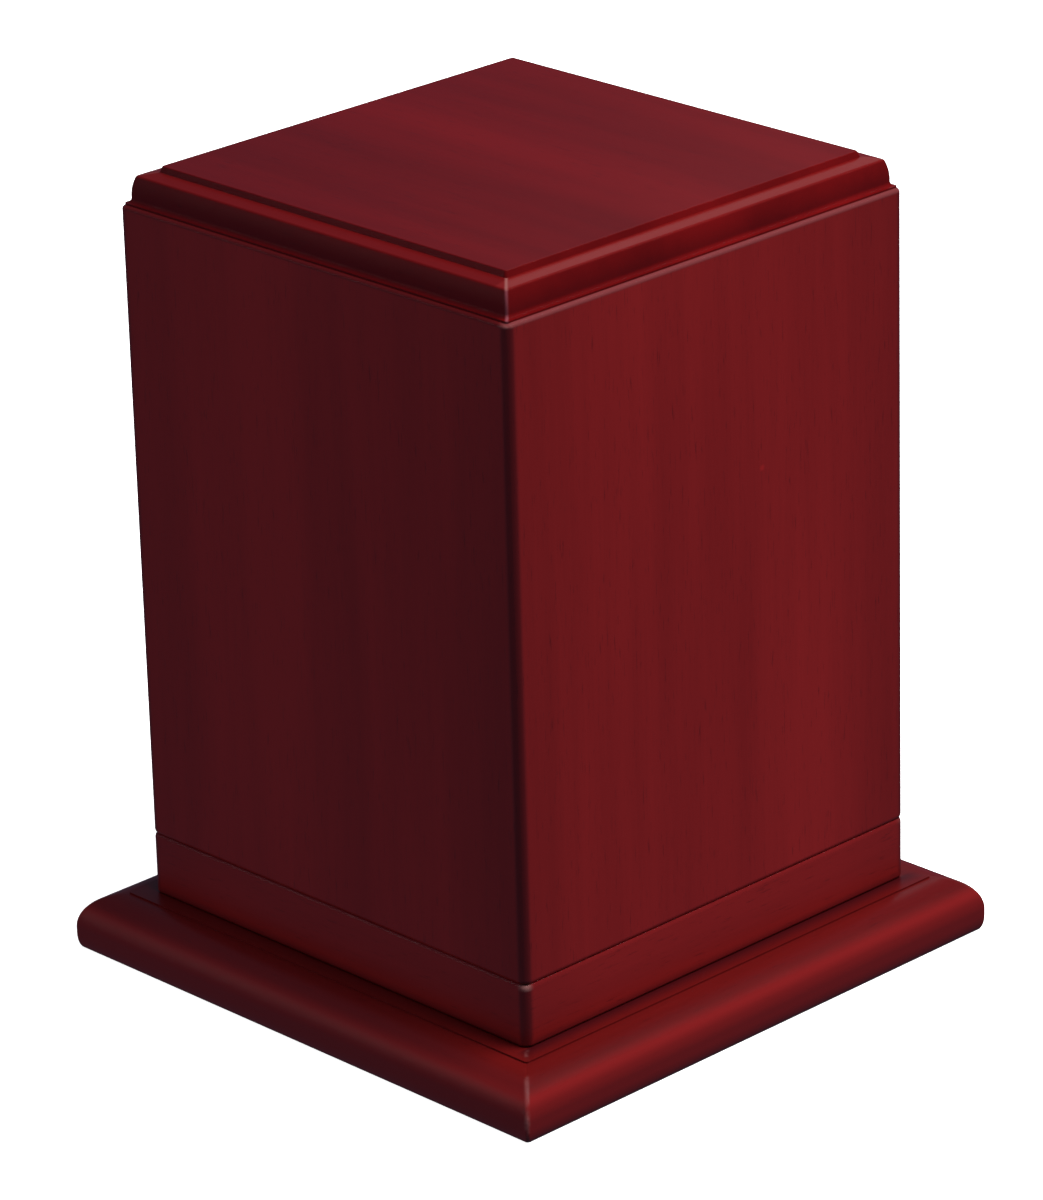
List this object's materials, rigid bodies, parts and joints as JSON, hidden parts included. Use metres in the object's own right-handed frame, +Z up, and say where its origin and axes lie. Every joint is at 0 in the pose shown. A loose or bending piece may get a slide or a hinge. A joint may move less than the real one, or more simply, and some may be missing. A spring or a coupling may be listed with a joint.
{
  "type": "cremation urn box",
  "caption": "Square upright wooden box urn with a moulded top, a grooved plinth course and a wide round-over base, hollow inside and closed by a screwed panel underneath.",
  "frame": {"origin": "on the floor, at the middle of the base's underside", "axes": "+Z up the case, the longest way; -Y out of the front wall and +X out of the right wall"},
  "size_m": [0.19, 0.19, 0.241],
  "materials": {
    "case_wood": "dark red stain under clear satin lacquer, grain upright",
    "top_wood": "dark red stain under clear satin lacquer, faint streaks along the grain",
    "base_wood": "dark red stain under clear satin lacquer, grain along each length, arrises rubbed pale at the corners",
    "panel_wood": "thin red stain, nearly matt",
    "screw_metal": "zinc plated, yellow passivated"
  },
  "bodies": {
    "root": {"wall_front": "case_wood", "wall_right": "case_wood", "wall_back": "case_wood", "wall_left": "case_wood", "plinth_front": "case_wood", "plinth_right": "case_wood", "plinth_back": "case_wood", "plinth_left": "case_wood", "base_moulding_front": "base_wood", "base_moulding_right": "base_wood", "base_moulding_back": "base_wood", "base_moulding_left": "base_wood", "top_board": "top_wood", "access_panel": "panel_wood", "access_screw_front": "screw_metal", "access_screw_right": "screw_metal", "access_screw_back": "screw_metal", "access_screw_left": "screw_metal"}
  },
  "joints": []
}
